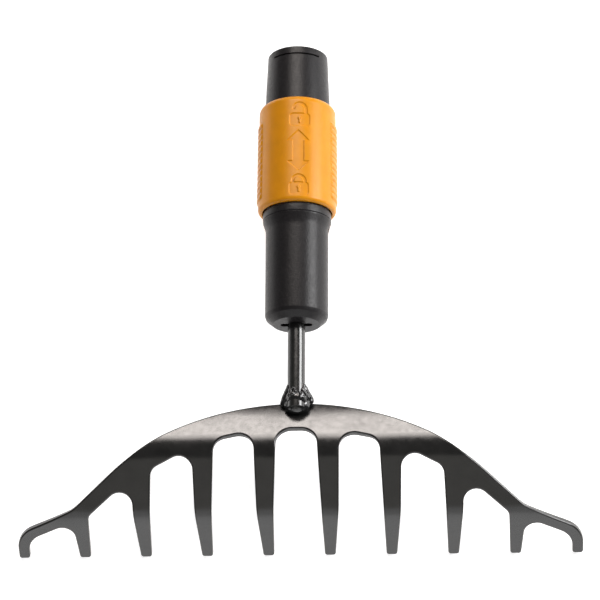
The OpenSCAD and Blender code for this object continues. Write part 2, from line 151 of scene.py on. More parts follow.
def lathe(profile, columns=128):
    """A closed ring from a closed outline of (radius, height)."""
    n = len(profile)
    verts = [
        (r * math.sin(a), -r * math.cos(a), z)
        for a in (2 * math.pi * c / columns for c in range(columns))
        for r, z in profile
    ]
    faces = [
        (c * n + i, c * n + (i + 1) % n, (c + 1) % columns * n + (i + 1) % n, (c + 1) % columns * n + i)
        for c in range(columns)
        for i in range(n)
    ]
    return verts, face_out(verts, faces)


def soften(corners, step=12):
    """Rounds the corners (r, z, radius) of a closed outline."""
    out = []
    n = len(corners)
    for i in range(n):
        a, p, b = (np.array(corners[j % n][:2], float) for j in (i - 1, i, i + 1))
        out += fillet(a, p, b, corners[i][2] if len(corners[i]) > 2 else 0, step)
    return [tuple(p) for p in out]


def fillet(a, p, b, radius, step):
    """Points of the corner p between a and b, rounded, at most step degrees apart."""
    if radius < 1e-3:
        return [p]
    u, v = (a - p) / np.linalg.norm(a - p), (b - p) / np.linalg.norm(b - p)
    half = math.acos(float(np.clip(u @ v, -1, 1))) / 2
    if half > math.radians(89.7):
        return [p]
    mid = p + (u + v) / np.linalg.norm(u + v) * radius / math.sin(half)
    s, e = p + u * radius / math.tan(half) - mid, p + v * radius / math.tan(half) - mid
    a0 = math.atan2(s[1], s[0])
    turn = (math.atan2(e[1], e[0]) - a0 + 3 * math.pi) % (2 * math.pi) - math.pi
    count = max(1, math.ceil(abs(math.degrees(turn)) / step))
    return [
        mid + radius * np.array([math.cos(a0 + turn * k / count), math.sin(a0 + turn * k / count)])
        for k in range(count + 1)
    ]


def loose(verts, faces):
    """An object for cutting with, in tool millimetres."""
    mesh = bpy.data.meshes.new("cutter")
    mesh.from_pydata([tuple(v) for v in verts], [], [tuple(f) for f in faces])
    obj = bpy.data.objects.new("cutter", mesh)
    bpy.context.scene.collection.objects.link(obj)
    return obj


def combine(verts, faces, tools):
    """The mesh with each (verts, faces, operation) of tools cut from it or added to it."""
    work = loose(verts, faces)
    for tv, tf, operation in tools:
        other = loose(tv, tf)
        m = work.modifiers.new("cut", "BOOLEAN")
        m.operation, m.solver, m.object = operation, "EXACT", other
        dg = bpy.context.evaluated_depsgraph_get()
        made = bpy.data.meshes.new_from_object(work.evaluated_get(dg))
        work.modifiers.clear()
        work.data = made
        bpy.data.objects.remove(other)
    out_v = [tuple(v.co) for v in work.data.vertices]
    out_f = [tuple(p.vertices) for p in work.data.polygons]
    bpy.data.objects.remove(work)
    return out_v, out_f


def prism(outline, z0, z1):
    """An upright prism on a closed outline of (x, y)."""
    n = len(outline)
    verts = [(x, y, z0) for x, y in outline] + [(x, y, z1) for x, y in outline]
    faces = [tuple(range(n)), tuple(range(n, 2 * n))[::-1]]
    faces += [(i, (i + 1) % n, (i + 1) % n + n, i + n)[::-1] for i in range(n)]
    return verts, face_out(verts, faces)


def bar_across(r, z, length, sides=32):
    """A cylinder from side to side through the axis."""
    turns = [2 * math.pi * i / sides for i in range(sides)]
    ring = [(r * math.cos(a), r * math.sin(a)) for a in turns]
    v, f = prism(ring, -length / 2, length / 2)
    v = [(c, a, z + b) for a, b, c in v]
    return v, face_out(v, f)


def arc_block(r0, r1, z0, z1, a0, a1, sides=48):
    """A block between two radii, two heights and two angles from the front."""
    ring = [(r1 * math.sin(a), -r1 * math.cos(a)) for a in np.linspace(a0, a1, sides)]
    ring += [(r0 * math.sin(a), -r0 * math.cos(a)) for a in np.linspace(a1, a0, sides)]
    return prism(ring, z0, z1)


def sweep(path, r, sides=12):
    """A round wire along a list of points, closed at both ends."""
    p = np.array(path, float)
    t = np.gradient(p, axis=0)
    t /= np.linalg.norm(t, axis=1)[:, None]
    n = np.cross(t, (0, 0, 1.0))
    n /= np.linalg.norm(n, axis=1)[:, None]
    b = np.cross(t, n)
    a = np.arange(sides) * 2 * math.pi / sides
    side = np.cos(a)[None, :, None] * n[:, None] + np.sin(a)[None, :, None] * b[:, None]
    verts = p[:, None] + r * side
    count = len(p)
    faces = [
        (i * sides + k, i * sides + (k + 1) % sides, (i + 1) * sides + (k + 1) % sides, (i + 1) * sides + k)
        for i in range(count - 1)
        for k in range(sides)
    ]
    faces += [tuple(range(sides))[::-1], tuple(range((count - 1) * sides, count * sides))]
    verts = verts.reshape(-1, 3).tolist()
    return verts, face_out(verts, faces)


# ---------------------------------------------------------------- materials
class Paint:
    """A Principled material with procedural colour, roughness and bump."""

    def __init__(self, name, colour, roughness, **sockets):
        self.mat = bpy.data.materials.new(name)
        self.mat.use_nodes = True
        self.tree = self.mat.node_tree
        self.shader = self.tree.nodes["Principled BSDF"]
        self.place = self.tree.nodes.new("ShaderNodeTexCoord").outputs["Object"]
        self.shader.inputs["Base Color"].default_value = (*colour, 1)
        self.shader.inputs["Roughness"].default_value = roughness
        for socket, value in sockets.items():
            self.shader.inputs[socket.replace("_", " ")].default_value = value
        self.colour, self.roughness, self.normal = colour, roughness, None

    def noise(self, size_mm, detail=3.0, stretch=None):
        """Noise with features of about that size."""
        node = self.tree.nodes.new("ShaderNodeTexNoise")
        node.inputs["Scale"].default_value = 1 / (size_mm * MM)
        node.inputs["Detail"].default_value = detail
        self.tree.links.new(self.stretched(stretch), node.inputs["Vector"])
        return node.outputs["Fac"]

    def cells(self, size_mm):
        node = self.tree.nodes.new("ShaderNodeTexVoronoi")
        node.feature = "SMOOTH_F1"
        node.inputs["Scale"].default_value = 1 / (size_mm * MM)
        self.tree.links.new(self.place, node.inputs["Vector"])
        return node.outputs["Distance"]

    def stretched(self, stretch):
        if stretch is None:
            return self.place
        node = self.tree.nodes.new("ShaderNodeMapping")
        node.inputs["Scale"].default_value = stretch
        self.tree.links.new(self.place, node.inputs["Vector"])
        return node.outputs["Vector"]

    def ranged(self, value, low, high, start=0.3, end=0.7):
        node = self.tree.nodes.new("ShaderNodeMapRange")
        for socket, number in (("From Min", start), ("From Max", end), ("To Min", low), ("To Max", high)):
            node.inputs[socket].default_value = number
        self.tree.links.new(value, node.inputs["Value"])
        return node.outputs["Result"]

    def vary_colour(self, value, low, high):
        """Base colour times low to high, by a noise value."""
        node = self.tree.nodes.new("ShaderNodeMix")
        node.data_type = "RGBA"
        node.inputs["A"].default_value = (*[c * low for c in self.colour], 1)
        node.inputs["B"].default_value = (*[c * high for c in self.colour], 1)
        self.tree.links.new(self.ranged(value, 0, 1), node.inputs["Factor"])
        self.tree.links.new(node.outputs["Result"], self.shader.inputs["Base Color"])
        return self

    def vary_roughness(self, value, low, high):
        self.tree.links.new(self.ranged(value, low, high), self.shader.inputs["Roughness"])
        return self

    def bump(self, value, height_mm, strength=1.0):
        node = self.tree.nodes.new("ShaderNodeBump")
        node.inputs["Strength"].default_value = strength
        node.inputs["Distance"].default_value = height_mm * MM
        self.tree.links.new(value, node.inputs["Height"])
        if self.normal is not None:
            self.tree.links.new(self.normal, node.inputs["Normal"])
        self.normal = node.outputs["Normal"]
        self.tree.links.new(self.normal, self.shader.inputs["Normal"])
        return self


def gloss_paint():
    p = Paint("gloss_black_paint", (0.010, 0.0098, 0.0095), 0.17, Specular_IOR_Level=0.8)
    p.vary_colour(p.noise(9, 2), 0.8, 1.3)
    p.vary_roughness(p.noise(3.5, 4), 0.17, 0.25)
    p.bump(p.noise(28, 1), 1.0, 0.5)
    return p.bump(p.noise(1.5, 2), 0.008, 0.5).mat


def weld_paint():
    p = Paint("weld_black_paint", (0.009, 0.009, 0.0095), 0.12, Specular_IOR_Level=0.8)
    p.vary_roughness(p.noise(1.6, 3), 0.08, 0.2)
    p.bump(p.noise(2.4, 3), 0.35, 0.6)
    return p.bump(p.noise(0.6, 2), 0.03, 0.5).mat


def black_plastic():
    p = Paint("grained_black_plastic", (0.0125, 0.0115, 0.0125), 0.42, Specular_IOR_Level=0.25)
    p.vary_colour(p.noise(1.3, 5), 0.82, 1.2)
    p.vary_roughness(p.noise(2.2, 4), 0.31, 0.42)
    p.bump(p.noise(1.7, 4), 0.16, 0.6)
    return p.bump(p.cells(0.55), 0.08, 0.6).mat


def orange_plastic():
    p = Paint("satin_orange_plastic", (0.62, 0.24, 0.004), 0.33, Specular_IOR_Level=0.25)
    p.shader.inputs["Subsurface Weight"].default_value = 0.08
    p.shader.inputs["Subsurface Radius"].default_value = (1.0, 0.45, 0.1)
    p.shader.inputs["Subsurface Scale"].default_value = 0.0012
    p.vary_colour(p.noise(7, 3), 0.95, 1.04)
    p.vary_roughness(p.noise(3, 4), 0.29, 0.39)
    p.bump(p.noise(8, 2), 0.03, 0.4)
    return p.bump(p.cells(0.5), 0.02, 0.35).mat


def zinc():
    p = Paint("zinc_plate", (0.56, 0.57, 0.58), 0.34, Metallic=1.0)
    p.vary_colour(p.noise(2.5, 4), 0.82, 1.1)
    p.vary_roughness(p.noise(1.2, 4), 0.26, 0.46)
    return p.bump(p.noise(0.5, 3), 0.01, 0.5).mat


def spring_steel():
    p = Paint("oiled_spring_steel", (0.30, 0.30, 0.31), 0.3, Metallic=1.0)
    p.vary_colour(p.noise(1.8, 4), 0.7, 1.15)
    p.vary_roughness(p.noise(1.0, 3), 0.22, 0.42)
    return p.bump(p.noise(0.35, 2), 0.008, 0.5).mat


def ground_steel():
    p = Paint("ground_key_steel", (0.52, 0.52, 0.51), 0.28, Metallic=1.0)
    p.vary_colour(p.noise(1.5, 3), 0.85, 1.08)
    grain = p.noise(0.25, 2, (1, 1, 0.08))
    p.vary_roughness(grain, 0.2, 0.36)
    return p.bump(grain, 0.006, 0.6).mat


def rubber():
    p = Paint("moulded_black_rubber", (0.018, 0.018, 0.018), 0.68)
    p.vary_colour(p.noise(1.4, 4), 0.8, 1.5)
    p.vary_roughness(p.noise(2, 3), 0.6, 0.76)
    return p.bump(p.noise(0.4, 3), 0.02, 0.5).mat


MATERIALS = {
    "black_steel": gloss_paint(),
    "weld": weld_paint(),
    "black_moulding": black_plastic(),
    "orange_moulding": orange_plastic(),
    "zinc_steel": zinc(),
    "spring_steel": spring_steel(),
    "key_steel": ground_steel(),
    "black_rubber": rubber(),
}

# ---------------------------------------------------------------- the bent sheet
BEND_R1, BEND_R2 = 24.0, 30.0
BEND_S1, BEND_S2 = 30.1, 72.2
CROWN_Y, CROWN_Z = 8.3, -NECK_LEN - 0.6
TURN_1 = math.radians(CROWN_TILT + MIDDLE_TILT)
TURN_2 = math.radians(TINE_TILT - MIDDLE_TILT)
START_1, END_1 = BEND_S1 - BEND_R1 * TURN_1 / 2, BEND_S1 + BEND_R1 * TURN_1 / 2
START_2, END_2 = BEND_S2 - BEND_R2 * TURN_2 / 2, BEND_S2 + BEND_R2 * TURN_2 / 2


def bend_angle(s):
    """Angle of the sheet from straight down, at the developed height s."""
    return np.interp(
        s,
        [START_1, END_1, START_2, END_2],
        np.radians([-CROWN_TILT, MIDDLE_TILT, MIDDLE_TILT, TINE_TILT]),
    )


FINE_S = np.linspace(-8, BLADE_H + 8, 6000)
FINE_A = bend_angle(FINE_S)
FINE_Y = np.concatenate([[0], np.cumsum(np.sin((FINE_A[1:] + FINE_A[:-1]) / 2) * np.diff(FINE_S))])
FINE_Z = np.concatenate([[0], np.cumsum(-np.cos((FINE_A[1:] + FINE_A[:-1]) / 2) * np.diff(FINE_S))])
FINE_Y += CROWN_Y - np.interp(0, FINE_S, FINE_Y)
FINE_Z += CROWN_Z - np.interp(0, FINE_S, FINE_Z)


def bent(x, s, h):
    """Points of the bent sheet, h in front of its middle."""
    a = bend_angle(s)
    y = np.interp(s, FINE_S, FINE_Y) - h * np.cos(a)
    z = np.interp(s, FINE_S, FINE_Z) - h * np.sin(a)
    return np.stack([x, y, z], -1)


def bent_direction(s, nx, ns, nh):
    """A direction given across the sheet, down it and out of its front."""
    a = bend_angle(s)
    return np.stack([nx, ns * np.sin(a) - nh * np.cos(a), -ns * np.cos(a) - nh * np.sin(a)], -1)


# ---------------------------------------------------------------- the blade's outline
EDGE_GAPS = 4
HALF_W = (EDGE_GAPS + 0.5) * TINE_PITCH + TIP_W / 2
SHOULDER_S = 0.653 * BLADE_H
FLANK_RUN = 3.64 * TINE_PITCH
FLANK = math.atan(1.938 * SHOULDER_S / FLANK_RUN)
APEX_S = SHOULDER_S - FLANK_RUN * math.tan(FLANK)
CROWN_R = -APEX_S / (1 / math.cos(FLANK) - 1)
CROWN_END = CROWN_R * math.sin(FLANK)
SHOULDER_SLOPE = 0.47
WEBS = [18.2, 17.6, 17.1, 13.9, 8.2]
GAP_R_IN = [10, 9.5, 8.5, 8, 8]
GAP_R_OUT = [10, 9, 8, 6, 13]
KNEE_S = 0.67 * BLADE_H
KNEE_ROUND = 60
TIP_ROUND = 1.7
ROOT_IN, ROOT_OUT = ROOT_W / 2, ROOT_W / 2
KNEE_IN, KNEE_OUT = 0.56 * ROOT_IN, ROOT_OUT - 1.55


def top_s(x):
    """Developed height of the blade's top edge at x."""
    if x < CROWN_END:
        return CROWN_R - math.sqrt(CROWN_R * CROWN_R - x * x)
    if x < FLANK_RUN:
        return APEX_S + x * math.tan(FLANK)
    return SHOULDER_S + (x - FLANK_RUN) * SHOULDER_SLOPE


def half_width(s, root, knee):
    if s < KNEE_S:
        return root + (knee - root) * s / KNEE_S
    return knee + (TIP_W / 2 - knee) * (s - KNEE_S) / (BLADE_H - KNEE_S)


def tine_x(k):
    return (k + 0.5) * TINE_PITCH


def edge_in(k, s):
    return tine_x(k) - half_width(s, ROOT_IN, KNEE_IN)


def edge_out(k, s):
    return tine_x(k) + half_width(s, ROOT_OUT, KNEE_OUT)


def gap(k):
    web = WEBS[k + 1]
    x0, x1 = edge_out(k, top_s(tine_x(k)) + web), edge_in(k + 1, top_s(tine_x(k + 1)) + web)
    s0, s1 = top_s(x0) + web, top_s(x1) + web
    points = [(edge_out(k, BLADE_H), BLADE_H, TIP_ROUND)]
    if s0 < KNEE_S - 12:
        points.append((edge_out(k, KNEE_S), KNEE_S, KNEE_ROUND))
    points += [(x0, s0, GAP_R_IN[k + 1]), (x1, s1, GAP_R_OUT[k + 1])]
    if s1 < KNEE_S - 8:
        points.append((edge_in(k + 1, KNEE_S), KNEE_S, KNEE_ROUND))
    return points + [(edge_in(k + 1, BLADE_H), BLADE_H, TIP_ROUND)]


def blade_outline():
    """The blade's closed outline in developed (x, s)."""
    middle_s = top_s(edge_in(0, 0)) + WEBS[0]
    half = [(edge_in(0, middle_s), middle_s, GAP_R_IN[0]), (edge_in(0, KNEE_S), KNEE_S, KNEE_ROUND)]
    half.append((edge_in(0, BLADE_H), BLADE_H, TIP_ROUND))
    for k in range(EDGE_GAPS):
        half += gap(k)
    shoulder = SHOULDER_S + (HALF_W - FLANK_RUN) * SHOULDER_SLOPE
    half += [(HALF_W, BLADE_H, TIP_ROUND), (HALF_W, shoulder, 17), (FLANK_RUN, SHOULDER_S, 25)]
    crown = [(x, top_s(abs(x)), 0) for x in np.linspace(CROWN_END, -CROWN_END, 161)]
    left = [(-x, s, r) for x, s, r in reversed(half)]
    return spread_evenly(soften(half + crown + left, 7), 1.0)


def spread_evenly(points, most):
    """The outline with its long edges split, and no two points closer than a tenth of a step."""
    p = [np.array(points[0])]
    for q in [np.array(x) for x in points[1:]] + [np.array(points[0])]:
        length = np.linalg.norm(q - p[-1])
        if length < 0.1 * most:
            continue
        count = math.ceil(length / most)
        start = p[-1]
        p += [start + (q - start) * k / count for k in range(1, count + 1)]
    if np.linalg.norm(p[0] - p[-1]) < 0.1 * most:
        p.pop()
    return np.array(p)


def outward(p):
    """Outward direction at each point of an outline, longer at corners so that offsets stay even."""
    area = np.sum(p[:, 0] * np.roll(p[:, 1], -1) - np.roll(p[:, 0], -1) * p[:, 1])
    e = np.roll(p, -1, 0) - p
    e /= np.linalg.norm(e, axis=1)[:, None]
    n = np.stack([e[:, 1], -e[:, 0]], -1) * np.sign(area)
    m = np.roll(n, 1, 0)
    return (n + m) / (1 + np.sum(n * m, 1))[:, None]


def inside(points, loop):
    """Which points lie within the closed loop."""
    a, b = loop, np.roll(loop, -1, 0)
    hit = np.zeros(len(points), bool)
    for (x0, y0), (x1, y1) in zip(a, b):
        crosses = (y0 > points[:, 1]) != (y1 > points[:, 1])
        if y0 != y1:
            at = x0 + (points[:, 1] - y0) * (x1 - x0) / (y1 - y0)
            hit ^= crosses & (points[:, 0] < at)
    return hit


def fill(loop, step):
    """Triangles that fill the loop, and the loop's points with the inner points after them."""
    lo, hi = loop.min(0), loop.max(0)
    xs = np.arange(lo[0], hi[0], step)
    ys = np.arange(lo[1], hi[1], step * 0.866)
    grid = np.array([(x + (j % 2) * step / 2, y) for j, y in enumerate(ys) for x in xs])
    grid = grid[inside(grid, loop)]
    tree = kdtree.KDTree(len(loop))
    for i, (x, y) in enumerate(loop):
        tree.insert((x, y, 0), i)
    tree.balance()
    grid = np.array([g for g in grid if tree.find((g[0], g[1], 0))[2] > 0.55 * step])
    points = np.concatenate([loop, grid])
    n = len(loop)
    border = [(i, (i + 1) % n) for i in range(n)]
    out = geometry.delaunay_2d_cdt([Vector(p) for p in points], border, [], 1, 1e-7)
    first = [o[0] for o in out[3]]
    return points, [tuple(first[i] for i in f) for f in out[2]]


FRONT_ROUND = 1.15
BACK_ROUND = 0.6
EDGE_STEPS = 6
DISH_DEPTH, DISH_END = 0.8, 16


def dish(s):
    """How far the front falls back near the crown's top, and its slope there."""
    t = np.clip(1 - s / DISH_END, 0, 1)
    return DISH_DEPTH * t**3, DISH_DEPTH * 3 / DISH_END * t**2


def make_blade():
    loop = blade_outline()
    out = outward(loop)
    unit_out = out / np.linalg.norm(out, axis=1)[:, None]
    n = len(loop)
    verts, normals, faces, rings = [], [], [], []
    start = 0
    for side, edge in ((1, FRONT_ROUND), (-1, BACK_ROUND)):
        flat, triangles = fill(loop - out * edge, 2.4)
        zero = np.zeros(len(flat))
        sunk, slope = dish(flat[:, 1]) if side == 1 else (zero, zero)
        verts.append(bent(flat[:, 0], flat[:, 1], side * SHEET_T / 2 - sunk))
        normals.append(bent_direction(flat[:, 1], zero, -slope, zero + side))
        faces += [tuple(start + i for i in f) for f in triangles]
        steps = [list(range(start, start + n))]
        start += len(flat)
        for a in np.linspace(math.pi / 2, 0, EDGE_STEPS + 1)[1:]:
            p = loop - out * edge * (1 - math.cos(a))
            sunk = dish(p[:, 1])[0] if side == 1 else 0
            lift = side * (SHEET_T / 2 - edge * (1 - math.sin(a))) - sunk * math.sin(a)
            verts.append(bent(p[:, 0], p[:, 1], lift))
            c, up = math.cos(a), side * math.sin(a) + np.zeros(n)
            normals.append(bent_direction(p[:, 1], unit_out[:, 0] * c, unit_out[:, 1] * c, up))
            steps.append(list(range(start, start + n)))
            start += n
        rings += steps if side == 1 else steps[::-1]
    for a, b in zip(rings, rings[1:]):
        faces += [(a[i], a[(i + 1) % n], b[(i + 1) % n], b[i]) for i in range(n)]
    return np.concatenate(verts), faces, np.concatenate(normals)


def aligned(verts, faces, normals):
    """Faces turned to agree with the wanted normals."""
    v = np.array(verts)
    turned = []
    for f in faces:
        n = np.cross(v[f[1]] - v[f[0]], v[f[2]] - v[f[0]])
        turned.append(tuple(reversed(f)) if n @ sum(normals[i] for i in f) < 0 else tuple(f))
    return turned


blade_v, blade_f, blade_n = make_blade()
blade_f = aligned(blade_v, blade_f, blade_n)
PAINT = MATERIALS["black_steel"]
piece("tined_blade", blade_v, blade_f, "head", ["rake_blade"], PAINT, blade_n, 0)


# ---------------------------------------------------------------- weld and rod
def make_weld():
    """Overlapping lumps, remeshed into one skin, smoothed and roughened a little."""
    z = -NECK_LEN
    lumps = [
        # centre, radii
        ((0.4, 0.2, z + 0.5), (6.9, 6.3, 6.0)),
        ((0.4, 1.8, z - 3.4), (8.2, 4.8, 5.5)),
        ((-1.2, -5.5, z + 5.4), (1.2, 1.2, 1.4)),
        ((-0.2, -5.8, z + 3.6), (1.3, 1.2, 1.2)),
        ((-1.8, -5.6, z + 2.0), (1.4, 1.2, 1.1)),
        ((-4.0, -4.6, z + 1.4), (1.6, 1.5, 1.4)),
        ((-3.4, -4.4, z + 4.2), (1.4, 1.4, 2.0)),
        ((4.4, -4.0, z + 4.8), (1.3, 1.4, 1.8)),
        ((5.6, -2.9, z + 3.0), (1.4, 1.5, 1.7)),
        ((7.0, -1.2, z + 1.2), (1.5, 1.6, 1.7)),
    ]
    for t in np.linspace(0, 1, 6):
        lumps.append(((-3.8 - 3.9 * t, -1.2 + 4.6 * t, z + 7.0 - 7.6 * t), (2.7, 2.7, 3.0)))
        lumps.append(((4.2 + 4.2 * t, -1.2 + 4.6 * t, z + 7.4 - 7.0 * t), (2.7, 2.7, 3.0)))
    bm = bmesh.new()
    for c, radii in lumps:
        matrix = Matrix.Translation(c) @ Matrix.Diagonal((*radii, 1))
        bmesh.ops.create_icosphere(bm, subdivisions=4, radius=1, matrix=matrix)
    mesh = bpy.data.meshes.new("lumps")
    bm.to_mesh(mesh)
    bm.free()
    obj = bpy.data.objects.new("lumps", mesh)
    bpy.context.scene.collection.objects.link(obj)
    r = obj.modifiers.new("skin", "REMESH")
    r.mode, r.voxel_size = "VOXEL", 0.3
    s = obj.modifiers.new("smooth", "SMOOTH")
    s.factor, s.iterations = 0.5, 6
    made = bpy.data.meshes.new_from_object(obj.evaluated_get(bpy.context.evaluated_depsgraph_get()))
    bpy.data.objects.remove(obj)
    verts = []
    for v in made.vertices:
        ripple = 0.22 * noise.noise(v.co * 0.42) + 0.1 * noise.noise(v.co * 1.1)
        verts.append(tuple(v.co + v.normal * ripple))
    return verts, [tuple(p.vertices) for p in made.polygons]


weld_v, weld_f = make_weld()
piece("weld_lumps", weld_v, weld_f, "head", ["weld_bead"], MATERIALS["weld"], None, 0)


def rounded_box(width, depth, radius):
    """A rectangle of (x, y) about the axis, with rounded corners."""
    x, y = width / 2, depth / 2
    return soften([(-x, -y, radius), (x, -y, radius), (x, y, radius), (-x, y, radius)], 15)


def make_rod():
    end, top = -NECK_LEN - 5.5, 49.8
    turns = np.linspace(0, 2 * math.pi, 96, endpoint=False)
    ring = [(ROD_R * math.sin(a), -ROD_R * math.cos(a)) for a in turns]
    v, f = prism(ring, end, top)
    ev, ef = prism(rounded_box(EAR_W, EAR_T, 0.8), EAR_Z, EAR_Z + EAR_H)
    return combine(v, f, [(ev, ef, "UNION"), (*bar_across(PIN_HOLE_R, ROD_PIN_Z, 14), "DIFFERENCE")])


rod_v, rod_f = make_rod()
piece("eared_rod", rod_v, rod_f, "head", ["shank_rod"], PAINT)


# ---------------------------------------------------------------- the adaptor's mouldings
def make_body():
    outline = soften(
        [
            (ROD_R + 0.05, 0),
            (15.2, 0, 0.9),
            (19.5, 3.6, 1.6),
            (BODY_R, 5.7, 0.9),
            (BODY_R, BODY_TOP - 6.4, 14),
            (COLLAR_R - 0.15, BODY_TOP - 0.9, 2),
            (COLLAR_R, BODY_TOP, 0.25),
            (SPIGOT_R + 0.05, BODY_TOP),
            (SPIGOT_R + 0.05, BODY_TOP - 12.5),
            (SPIGOT_R - 1, BODY_TOP - 12.5),
            (SPIGOT_R - 1, 46.8),
            (7.65, 46.8),
            (7.65, 13),
            (ROD_R + 0.05, 13),
        ],
        8,
    )
    v, f = lathe(outline, 160)
    slot_w, slot_t = EAR_W + 1.2, EAR_T + 1.2
    sv, sf = prism(rounded_box(slot_w, slot_t, 2.0), -2, 12)
    tools = [(sv, sf, "DIFFERENCE")]
    tools += [(*bar_across(PIN_HOLE_R, z, 60), "DIFFERENCE") for z in (ROD_PIN_Z, SPIGOT_PIN_Z)]
    return combine(v, f, tools)


body_v, body_f = make_body()
MOULDING = MATERIALS["black_moulding"]
piece("lower_moulding", body_v, body_f, "head", ["adaptor_body"], MOULDING)

collar_outline = soften(
    [
        (INNER_TUBE_R + 0.05, BODY_TOP + 0.2),
        (COLLAR_R, BODY_TOP + 0.2, 0.45),
        (COLLAR_R, BODY_TOP + 5.5, 0.7),
        (INNER_TUBE_R + 0.05, BODY_TOP + 5.5),
    ],
    12,
)
collar_v, collar_f = lathe(collar_outline, 160)
piece("guide_ring", collar_v, collar_f, "head", ["guide_collar"], MOULDING)

SLOT_Z = RIM_Z - 6.1
SLOT_H = 1.1
SLOT_HALF = math.radians(48)


def make_tube():
    shoulder = SLEEVE_TOP - 3.5
    low = BODY_TOP - 12.45
    land = KEY_Z + KEY_H + 4
    outline = soften(
        [
            (BORE_R - 2, low),
            (SPIGOT_R, low, 0.6),
            (SPIGOT_R, BODY_TOP + 0.1),
            (INNER_TUBE_R, BODY_TOP + 0.1),
            (INNER_TUBE_R, CAM_TOP + 0.25),
            (INNER_TUBE_R - 1, CAM_TOP + 0.25),
            (INNER_TUBE_R - 1, CAM_TOP + 1.55),
            (INNER_TUBE_R, CAM_TOP + 1.55),
            (INNER_TUBE_R, shoulder),
            (TUBE_R, shoulder + 1.2),
            (TUBE_R, SLEEVE_TOP, 8),
            (RIM_R, RIM_Z - 0.7, 0.9),
            (RIM_R - 0.7, RIM_Z, 0.7),
            (BORE_R + 1.2, RIM_Z, 0.5),
            (BORE_R, RIM_Z - 1.3, 0.5),
            (BORE_R, RIM_Z - 4.6),
            (BORE_R + 1.6, RIM_Z - 4.6),
            (BORE_R + 1.6, RIM_Z - 6.5),
            (BORE_R, RIM_Z - 6.5),
            (BORE_R, land),
            (BORE_R + 0.3, land),
            (BORE_R + 0.3, BODY_TOP + 8),
            (BORE_R - 2, BODY_TOP + 8),
        ],
        10,
    )
    v, f = lathe(outline, 160)
    slot = arc_block(BORE_R + 0.4, RIM_R + 4, SLOT_Z, SLOT_Z + SLOT_H, -SLOT_HALF, SLOT_HALF)
    tools = [(*slot, "DIFFERENCE")]
    w = KEY_W / 2 + 0.1
    for x0, x1 in ((-BORE_R - 6, -BORE_R + 2), (BORE_R - 2, BORE_R + 6)):
        window = [(x0, -w), (x1, -w), (x1, w), (x0, w)]
        tools.append((*prism(window, KEY_Z - 0.1, KEY_Z + KEY_H + 0.1), "DIFFERENCE"))
    tools.append((*bar_across(PIN_HOLE_R, SPIGOT_PIN_Z, 60), "DIFFERENCE"))
    return combine(v, f, tools)


tube_v, tube_f = make_tube()
piece("socket_moulding", tube_v, tube_f, "head", ["socket_tube"], MOULDING)

# ---------------------------------------------------------------- the release sleeve
MARK_TURN = math.radians(4.6)
MARK_DEPTH = 0.55
MARK_EDGE = 0.26
GRIP_Z0, GRIP_Z1 = SLEEVE_Z + 6.5, SLEEVE_Z + 61.0
GRIP_HALF = math.radians(28)
RIBS = 13


def sd_box(u, z, cu, cz, hu, hz, r):
    """Distance to a rounded rectangle, negative inside."""
    a, b = np.abs(u - cu) - hu + r, np.abs(z - cz) - hz + r
    return np.hypot(np.maximum(a, 0), np.maximum(b, 0)) + np.minimum(np.maximum(a, b), 0) - r


def sd_hoop(u, z, cu, cz, r, w):
    """Distance to the upper half of a ring."""
    d = np.abs(np.hypot(u - cu, z - cz) - r) - w
    return np.maximum(d, cz - z)


def sd_head(u, z, tip, base, half):
    """Distance to an arrow head that points from base to tip."""
    way = 1 if tip > base else -1
    slope = math.hypot(abs(tip - base), half)
    side = (np.abs(u) * abs(tip - base) + (z - base) * way * half - half * abs(tip - base)) / slope
    return np.maximum(side, (base - z) * way)


def padlock(u, z, cu, z0, width, body, lift):
    """A generic padlock outline, shut, or open where lift is more than nothing."""
    hoop_r, wire = 0.31 * width, 0.9
    d = sd_box(u, z, cu, z0 + body / 2, width / 2, body / 2, 2.2)
    top = z0 + body + lift + 0.6
    d = np.minimum(d, sd_hoop(u, z, cu, top, hoop_r, wire))
    leg_z, leg_half = (top + z0 + body) / 2, (top - z0 - body) / 2 + 0.5
    d = np.minimum(d, sd_box(u, z, cu + hoop_r, leg_z, wire, leg_half, 0.2))
    if not lift:
        d = np.minimum(d, sd_box(u, z, cu - hoop_r, leg_z, wire, leg_half, 0.2))
    eye = np.hypot(u - cu, z - z0 - 0.62 * body) - 1.2
    keyhole = np.minimum(eye, sd_box(u, z, cu, z0 + 0.42 * body, 0.6, 1.7, 0.3))
    return np.maximum(d, -keyhole)


def sleeve_relief(turn, z):
    """How far the skin stands out from the plain sleeve, in mm."""
    u = (turn - MARK_TURN) * SLEEVE_R
    d = sd_box(u, z, 0, 110.8, 3.7, 8.2, 0.2)
    d = np.minimum(d, sd_head(u, z, 125.2, 118.2, 7.2))
    d = np.minimum(d, sd_head(u, z, 96.6, 103.6, 7.2))
    d = np.minimum(d, padlock(u, z, 0.9, 128.2, 13.4, 9.0, 2.2))
    d = np.minimum(d, padlock(u, z, 0.4, 79.8, 12.6, 8.8, 0))
    t = np.clip(0.5 - d / MARK_EDGE / 2, 0, 1)
    out = -MARK_DEPTH * t * t * (3 - 2 * t)
    side = np.abs(np.abs(turn) - math.pi / 2)
    mid = (GRIP_Z0 + GRIP_Z1) / 2
    pad = sd_box(side * SLEEVE_R, z, 0, mid, GRIP_HALF * SLEEVE_R, (GRIP_Z1 - GRIP_Z0) / 2, 2.5)
    on = np.clip(0.5 - pad / 0.9, 0, 1)
    on = on * on * (3 - 2 * on)
    phase = (z - GRIP_Z0) / (GRIP_Z1 - GRIP_Z0) * RIBS
    groove = np.exp(-(((phase + 0.5) % 1 - 0.5) / 0.17) ** 2)
    return out + on * (0.85 - 0.62 * groove)


